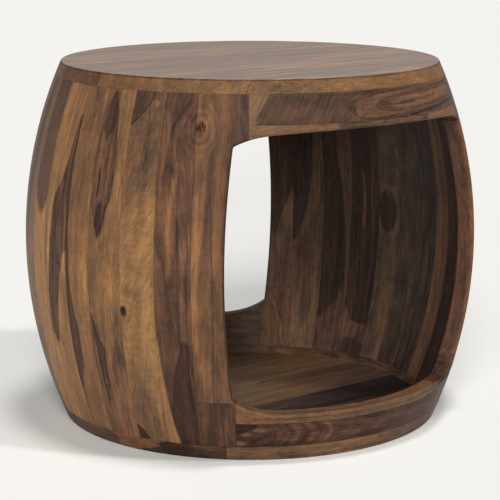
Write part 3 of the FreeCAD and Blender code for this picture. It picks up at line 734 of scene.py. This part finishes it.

# the right staves show their inner side, where the lacquer is less even; their cool tint, and their inner
# face darker than their outer face, are painted shade
rightShadeAndGloss = {"gloss": 0.24, "cool": 0.35, "outer": 0.16}
rightStaves = {
    1: {
        "tone": 0.23, "red": 1, "cool": -0.3, "gloss": 0.16, "streak": 0.05, "cloud": 0.06,
        "marks": [line([(30, 45), (200, 46.5), (400, 45)], 2, -0.1)],
    },
    2: {"tone": 0.18, "red": 0.5, "marks": [line([(80, 58), (240, 56), (420, 57)], 3, 0.08)]},
    3: {"tone": 0.43, "red": 0.5, "cool": 0.1, "marks": [line([(40, 68), (200, 66), (420, 67)], 2, -0.1)]},
    4: {"tone": 0.15, "red": 0.1, "marks": [patch((76.5, 150), (12, 65), 0.07)]},
    5: {
        "tone": 0.21, "red": 0, "streak": 0.06,
        "marks": [line([(80, 128), (91, 128)], 0.7, -0.2, turned=True)],
    },
    6: {
        "tone": 0.29, "red": 0, "streak": 0.06,
        "marks": [
            line([(89, 130), (99, 130)], 0.6, -0.16, turned=True),
            knot((95.3, 220), 17, 0.25, long=1.7, turns=1, reach=1.9, swirl=0.22, depth=0.5),
            line([(190, 95.3), (204, 93), (220, 92.1), (238, 93), (252, 95.5)], 1.6, -0.16),
            line([(190, 95.6), (204, 97.6), (220, 98.3), (238, 97.6), (252, 95.7)], 1.6, -0.12),
            flame([(190, 95.2, 95.8), (200, 94.2, 97), (212, 92.6, 98), (228, 92.4, 98), (240, 95, 97.6),
                   (250, 96.8, 96.9)], 0.11, red=0.1, soft=0.8),
        ],
    },
    7: {
        "tone": 0.3, "red": 0.4,
        "marks": [
            flame([(60, 98, 99), (62, 98, 105), (75, 98, 107.2), (92, 98, 109), (440, 98, 109)], 0.12,
                  rim=0.03, point=3, grain=0.14),
            line([(195, 104.5), (235, 104.2), (272, 104.6)], 2.2, 0.16, soft=2),
            flame([(15, 98, 109), (30, 98, 109), (40, 100, 107)], 0.14),
        ],
    },
    8: {
        "tone": 0.28, "red": 0.45,
        "marks": [
            flame([(64, 117, 119), (80, 114, 119), (100, 111.5, 119), (130, 110.3, 119), (180, 111, 119),
                   (240, 112, 119), (290, 113.5, 119), (330, 114, 119), (440, 115, 119)], 0.13, rim=0.05,
                  grain=0.14),
            flame([(150, 109.5, 110.3), (220, 109, 111.2), (300, 108.4, 113.2), (440, 108, 113)], 0.3,
                  red=-0.2),
        ],
    },
    9: {
        "tone": 0.3, "red": 0.2,
        "length": [(20, 0.06), (55, 0.1), (110, 0.05), (160, 0), (434, -0.04)],
        "marks": [
            patch((125, 150), (18, 34), -0.07, red=0.5),
            patch((125.5, 62), (10, 44), 0.12, red=-0.2),
            flame([(165, 127.2, 129), (180, 126, 129), (210, 124, 129), (250, 122.5, 129),
                   (300, 121.7, 129), (440, 121, 129)], 0.1, rim=0.04, grain=0.14),
        ],
    },
    10: {
        "tone": 0.33, "red": 0.7,
        "marks": [
            patch((133, 160), (14, 30), 0.05, red=-0.3),
            flame([(176, 133.5, 138), (210, 131, 138), (240, 128.5, 138), (260, 127, 138), (440, 127, 138)],
                  0.13, rim=0.04, grain=0.14),
        ],
    },
}

cornerBlocks = {
    "front_left_corner_block": {"tone": 0.21, "red": 0.7, "cool": -0.3, "streak": 0.08},
    "front_right_corner_block": {"tone": 0.22, "red": 0.8, "cool": -0.2},
    "back_left_corner_block": {"tone": 0.36, "red": 0.5},
    "back_right_corner_block": {
        "tone": 0.38, "red": 0.55,
        "marks": [line([(25, 130), (60, 132), (90, 135)], 2, 0.12)],
    },
}

# heartwood for a stave whose face the photograph doesn't show: shares of its width or height, and a tone,
# drawn between two limits in this order, and its taper in rows of (share of the length, share of fat)
unseen = {
    "drawn": {
        "centre": (0.2, 0.8), "start": (-0.2, 0.5), "length": (0.45, 1.0), "lean": (-0.3, 0.3),
        "fat": (0.07, 0.24), "tone": (0.15, 0.26),
    },
    "taper": [(0, 0.05), (0.2, 0.6), (0.5, 1), (0.8, 0.7), (1, 0.05)],
    "own": {"rim": 0.08, "rimWidth": 2.4, "grain": 0.16},
}


def heartwood(randoms, low, high, bottom, top):
    # a streak of dark heartwood that leans and tapers to both ends; fat is half its greatest width
    width, height = high - low, top - bottom
    drawn = {key: randoms.uniform(*span) for key, span in unseen["drawn"].items()}
    shares, halves = np.array(unseen["taper"]).T
    halves = halves * (width * drawn["fat"])
    middles = low + width * drawn["centre"] + width * drawn["lean"] * (shares - 0.5)
    places = bottom + height * drawn["start"] + height * drawn["length"] * shares
    rows = np.stack([places, middles - halves, middles + halves], 1).tolist()
    return flame(rows, drawn["tone"], **unseen["own"])


def dressWall():
    for side, looks, common in (("left", leftStaves, {}), ("right", rightStaves, rightShadeAndGloss)):
        for number, look in looks.items():
            name = f"{side}_stave_{number}"
            seed = firstSeeds[side] + number
            if "marks" not in look:
                middle, low, high = wallSpan(name)
                streak = heartwood(np.random.default_rng(seed), low, high, *heightSpan(name))
                look = {**look, "marks": [streak]}
            dressUpright(name, {**common, **look}, seed)
    for seed, (name, look) in enumerate(cornerBlocks.items(), firstSeeds["corner"]):
        dressUpright(name, look, seed)
    print("wall dressed:", len(leftStaves) + len(rightStaves) + len(cornerBlocks), "pieces")


dressWall()

# header, sill and base ring, with places in mm of height over the grain and degrees of azimuth along it


def standingArcs(bow, width, soft, tones):
    # lines up the lower sill's face that bow to the left at both ends, with a tone for each place
    return [
        line([(17, place - bow), (27, place - 1), (35, place - 0.2), (43, place - 1), (52, place - bow)],
             width, tone, turned=True, soft=soft)
        for place, tone in tones.items()
    ]


lyingPieces = {
    "front_header_upper": {
        "tone": 0.25, "red": 0.4, "waver": 4, "fray": 1.5, "vein": 0.06, "streak": 0.09,
        "drift": [(-38, -60), (-30, 0), (-20, 80), (-12, 125), (-4, 140), (40, 142)],
        "marks": [
            flame([(396, -41, -37), (410, -41, -36.5), (420, -41, -35), (436, -41, -32.8)], 0.47,
                  turned=True, rim=0.08, rimWidth=1.2, red=-0.4, grain=0.06),
            flame([(-10.6, 411, 413), (-9.6, 405, 420), (-7, 402, 426), (-2, 401.5, 430), (6, 403, 433),
                   (16, 404, 435), (30, 407, 437), (44, 409, 439)], 0.36, rim=0.18, rimWidth=1.8, red=0.1,
                  grain=0.06),
            flame([(-3, 413, 417), (0, 409, 423), (6, 407, 427), (15, 408, 429), (26, 410, 430),
                   (40, 412, 432)], 0.28, rim=0.08, rimWidth=1.6, red=0.3),
            flame([(2, 414, 418), (5, 411, 422), (12, 411, 424), (20, 412, 425), (30, 415, 426),
                   (38, 418, 424)], 0.46, rim=0.08, rimWidth=1.2, red=-0.1),
            line([(6, 417), (14, 418), (24, 419)], 1.4, -0.14, soft=1.4),
            line([(2, 416), (12, 416)], 0.8, -0.14),
            line([(9, 402), (18, 404), (26, 406), (35, 408)], 1.6, -0.16),
            line([(30, 407), (33, 412), (37, 413)], 1, -0.14),
            line([(-20, 431), (0, 430.5), (20, 431), (38, 429)], 1.4, -0.07),
        ],
    },
    "front_header_lower": {
        "tone": 0.28, "red": 0.5, "waver": 1.5, "fray": 2,
        "marks": [
            flame([(-42, 378, 402), (-24, 378, 402), (-18, 384, 401), (-15.5, 390, 400)], 0.44, red=-0.1),
            flame([(16, 392, 398), (19, 386, 402), (38, 378, 402), (42, 378, 402)], 0.42),
            line([(388, -3.5), (394, -2), (399, -1)], 1, -0.14, turned=True),
            line([(388, 1.5), (394, 3.4), (399, 4)], 1, -0.14, turned=True),
            line([(12, 392), (14.5, 395), (17, 399)], 0.8, -0.1),
        ],
    },
    "front_sill_upper": {
        "tone": 0.16, "red": 0.5, "waver": 1, "cool": -0.3,
        "marks": [
            flame([(-43, 48, 82), (12, 48, 82), (18, 51, 82), (25, 58, 82)], 0.41, soft=1, red=-0.3),
            line([(-40, 60), (-36, 57), (-20, 56.4), (0, 56.2), (20, 57), (36, 60)], 0.9, -0.12),
        ],
    },
    "front_sill_lower": {
        "tone": 0.18, "red": 1, "waver": 2, "fray": 2, "cool": -0.3,
        "marks": [
            flame([(-43, 36, 51), (-40, 38, 51), (-38, 42, 51), (-36.5, 46, 50)], 0.02, red=-0.3),
            flame([(-43, 19, 28), (-41, 20, 27), (-39.5, 22, 25)], 0.44, red=-0.2, rim=0.1),
            flame([(-40.6, 34, 37), (-39.4, 33, 39), (-38.2, 35, 37)], 0.42, red=0.1, rim=0.1),
            flame([(-37.4, 40, 43), (-35.6, 38, 44), (-34, 41, 43)], 0.36, red=0.1),
            line([(-38, 24), (-35.5, 30), (-33, 37)], 0.9, -0.16),
            *standingArcs(3.2, 1.1, 1.2, {-31.4: -0.1, -29.2: -0.07, -27: -0.13, -23: -0.1, -19: -0.13}),
            *standingArcs(3, 3, 3, {-25.2: 0.08, -21: 0.08, -16: 0.14}),
            flame([(-9, 22, 24), (-2.5, 19, 28), (4, 22, 25)], 0.07),
            flame([(-8, 49, 51), (-3, 43, 52), (1, 48, 51)], 0.07),
        ],
    },
    "base_ring_front": {
        "tone": 0.36, "red": 0.2, "waver": 1,
        "length": [(-45, -0.04), (-10, 0.08), (5, 0.06), (20, -0.08), (45, -0.1)],
        "marks": [line([(-30, 4), (0, 5), (30, 3)], 1.6, -0.12)],
    },
    "base_ring_left_1": {
        "tone": 0.19, "red": 0.6, "cool": -0.3, "waver": 1,
        "marks": [
            flame([(-65, 10, 12), (-62, 2, 21), (-57, 2, 21), (-54, 9, 12)], 0.09),
            flame([(-82, -2, 21), (-72, 2, 21), (-65, 10, 21)], 0.42),
        ],
    },
    "base_ring_left_2": {"tone": 0.27, "red": 0.5, "waver": 1},
    "base_ring_left_3": {"tone": 0.38, "red": 0.4, "waver": 1},
    "base_ring_right_1": {"tone": 0.24, "red": 0.6, "waver": 1},
    "base_ring_right_2": {"tone": 0.26, "red": 0.4, "waver": 1},
    "base_ring_right_3": {"tone": 0.24, "red": 0.5, "waver": 1},
    "base_ring_back": {"tone": 0.28, "red": 0.5, "waver": 1},
    "back_header_upper": {
        "tone": 0.42, "red": 0.4, "waver": 2,
        "marks": [
            flame([(150, 410, 416), (170, 404, 424), (195, 406, 422), (206, 412, 418)], 0.18, rim=0.08),
        ],
    },
    "back_header_lower": {"tone": 0.32, "red": 0.5, "waver": 2},
    # the back sills take the full cool tint of painted shade
    "back_sill_lower": {"tone": 0.32, "red": 0.4, "waver": 2, "cool": 1},
    "back_sill_upper": {"tone": 0.35, "red": 0.3, "waver": 1, "cool": 1},
}

headerEnds = {
    "front_left_header_end": {"tone": 0.25, "red": 0.7, "waver": 2},
    "front_right_header_end": {"tone": 0.22, "red": 0.6, "waver": 2},
    "back_left_header_end": {"tone": 0.4, "red": 0.5, "waver": 2},
    "back_right_header_end": {"tone": 0.36, "red": 0.5, "waver": 2},
}


def dressOpenings():
    for seed, (name, look) in enumerate(lyingPieces.items(), firstSeeds["lying"]):
        dressLying(name, look, seed)
    for seed, (name, look) in enumerate(headerEnds.items(), firstSeeds["headerEnd"]):
        dressUpright(name, look, seed)
    print("openings and base ring dressed:", len(lyingPieces) + len(headerEnds), "pieces")


dressOpenings()

# top and floor boards, with places in mm of y over the grain and of x along it

topBoards = {
    1: {"tone": 0.42, "red": 0.1, "length": [(-200, -0.04), (-80, 0), (50, 0.06), (200, 0.08)]},
    2: {"tone": 0.43, "red": 0.1, "marks": [patch((-95, 60), (16, 90), 0.08)]},
    3: {"tone": 0.41, "red": 0.3, "marks": [patch((-30, 130), (12, 70), 0.1)]},
    4: {"tone": 0.34, "red": 0.4},
    5: {"tone": 0.38, "red": 0.3, "marks": [patch((112, -150), (14, 80), 0.12)]},
    6: {"tone": 0.34, "red": 0.4},
}
# the floor boards lie in the drum's shade: the dark first two boards, boards 2 and 3 darker towards one end,
# and the cool tints are painted shade
floorBoards = {
    1: {"tone": 0.11, "red": 0.3, "cool": 1},
    2: {"tone": 0.15, "red": 0.4, "cool": 1, "length": [(-100, 0.06), (40, 0.02), (150, -0.08)]},
    3: {
        "tone": 0.52, "red": 0.1,
        "length": [(0, 0.02), (110, -0.08), (190, -0.18)],
        "marks": [knot((45, 54), 7, 0.2, reach=2.5)],
    },
    4: {"tone": 0.56, "red": 0.1},
    5: {"tone": 0.48, "red": 0.2},
}
# what all boards share, then the floor boards inside and the boards of the top, whose paler, greyer colour is
# a painted sheen
plainBoard = {"waver": 6, "stretch": 2.4, "streak": 0.13, "vein": 0.15, "joint": 0.1}
# the floor boards' cool tint is painted shade
floorGlossAndShade = {"gloss": 0.34, "cool": 0.5}
topWithPaintedSheen = {
    "paintedSheen": 0.42, "bared": 0.75, "gloss": 0.72, "joint": 0.16, "cool": -0.3, "cloud": 0.1, "streak": 0.08,
    "vein": 0.08,
}
dowelLook = {"tone": 0.8, "red": 0.1, "streak": 0.04}
farLimits = (-mmPerMetre, mmPerMetre)    # so far out that no seam falls on a dowel


def dressBoards():
    for kind, looks, common in (("top_board", topBoards, topWithPaintedSheen), ("floor_board", floorBoards, floorGlossAndShade)):
        for number, look in looks.items():
            name = f"{kind}_{number}"
            low, high = (np.array(corner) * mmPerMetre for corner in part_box(name))
            dressPiece(name, {**plainBoard, **common, **look}, firstSeeds[kind] + number, 0, "y", "x",
                       (low[1], high[1]), (low[0], high[0]))
    for seed, name in enumerate(("top_dowels", "base_dowels"), firstSeeds["dowels"]):
        dressPiece(name, dowelLook, seed, 0, "y", "x", farLimits, farLimits)
    print("boards and dowels dressed:", len(topBoards) + len(floorBoards) + 2, "pieces")


dressBoards()

# floor, light and camera

studio = {
    "floorColour": (244, 243, 239),
    "floorRoughness": 0.9,
    "background": (244, 243, 239),
    "skyLevel": 0.05,          # light of the even sky
    "glossLevel": 0.5,         # share of the backdrop that gloss shows
    "floorReach": 40.0,        # how far the floor runs each way, m
    # each lamp: azimuth it stands at, elevation, share of the floor's light, width, all angles in degrees
    "lamps": [
        ("lowFrontLamp", -40, 12, 0.08, 14),
        ("highFrontLamp", -42, 36, 0.32, 24),
        ("keyLamp", 28, 50, 0.20, 5),
        ("topLamp", 24, 82.5, 0.35, 12),
    ],
}
# the camera's distance from the drum's axis, its height and the height it aims at in m, the azimuth it stands
# at in degrees and its lens in mm
view = {"distance": 2.3221, "height": 0.6861, "azimuth": -38.5, "aim": 0.2038, "lens": 133.1}


def makeFloor():
    reach = studio["floorReach"]
    corners = [(-reach, -reach, 0), (reach, -reach, 0), (reach, reach, 0), (-reach, reach, 0)]
    mesh = bpy.data.meshes.new("floor")
    mesh.from_pydata(corners, [], [(0, 1, 2, 3)])
    floor = bpy.data.objects.new("floor", mesh)
    bpy.context.scene.collection.objects.link(floor)
    material = bpy.data.materials.new("pale_floor")
    material.use_nodes = True
    shader = material.node_tree.nodes["Principled BSDF"]
    shader.inputs["Base Color"].default_value = linear(*studio["floorColour"])
    shader.inputs["Roughness"].default_value = studio["floorRoughness"]
    shader.inputs["Specular IOR Level"].default_value = 0.0
    mesh.materials.append(material)


def makeWorld():
    # an even sky for the light; what the camera and gloss see of it is the pale background
    world = bpy.data.worlds.new("studio")
    bpy.context.scene.world = world
    world.use_nodes = True
    tree = world.node_tree
    tree.nodes.clear()
    rays = newNode(tree, "ShaderNodeLightPath").outputs
    straight = Field(tree, rays["Is Camera Ray"]).math("MAXIMUM", Field(tree, rays["Is Transmission Ray"]))
    seen = straight.math("MAXIMUM", Field(tree, rays["Is Glossy Ray"]))
    level = straight * (1 - studio["glossLevel"]) + studio["glossLevel"]
    even = {"Color": (1.0, 1.0, 1.0, 1.0), "Strength": studio["skyLevel"]}
    pale = {"Color": linear(*studio["background"]), "Strength": level}
    sky, backdrop = (newNode(tree, "ShaderNodeBackground", look).outputs[0] for look in (even, pale))
    mix = newNode(tree, "ShaderNodeMixShader", {0: seen, 1: sky, 2: backdrop})
    newNode(tree, "ShaderNodeOutputWorld", {0: mix.outputs[0]})


def makeLamps():
    # suns; the level that gives the floor its share of the light is share * pi / sin(elevation)
    for name, azimuth, elevation, share, width in studio["lamps"]:
        lamp = bpy.data.lights.new(name, "SUN")
        lamp.energy = share * math.pi / math.sin(math.radians(elevation))
        lamp.angle = math.radians(width)
        holder = bpy.data.objects.new(name, lamp)
        holder.rotation_euler = (math.radians(90 - elevation), 0, math.radians(azimuth))
        bpy.context.scene.collection.objects.link(holder)


def makeCamera():
    data = bpy.data.cameras.new("camera")
    data.lens = view["lens"]
    camera = bpy.data.objects.new("camera", data)
    azimuth, distance = math.radians(view["azimuth"]), view["distance"]
    drop = math.atan2(view["height"] - view["aim"], distance)
    camera.location = (distance * math.sin(azimuth), -distance * math.cos(azimuth), view["height"])
    camera.rotation_euler = (math.pi / 2 - drop, 0, azimuth)
    bpy.context.scene.collection.objects.link(camera)
    bpy.context.scene.camera = camera


makeFloor()
makeWorld()
makeLamps()
makeCamera()
bpy.context.scene.view_settings.view_transform = "Standard"
print("floor, light and camera ready")
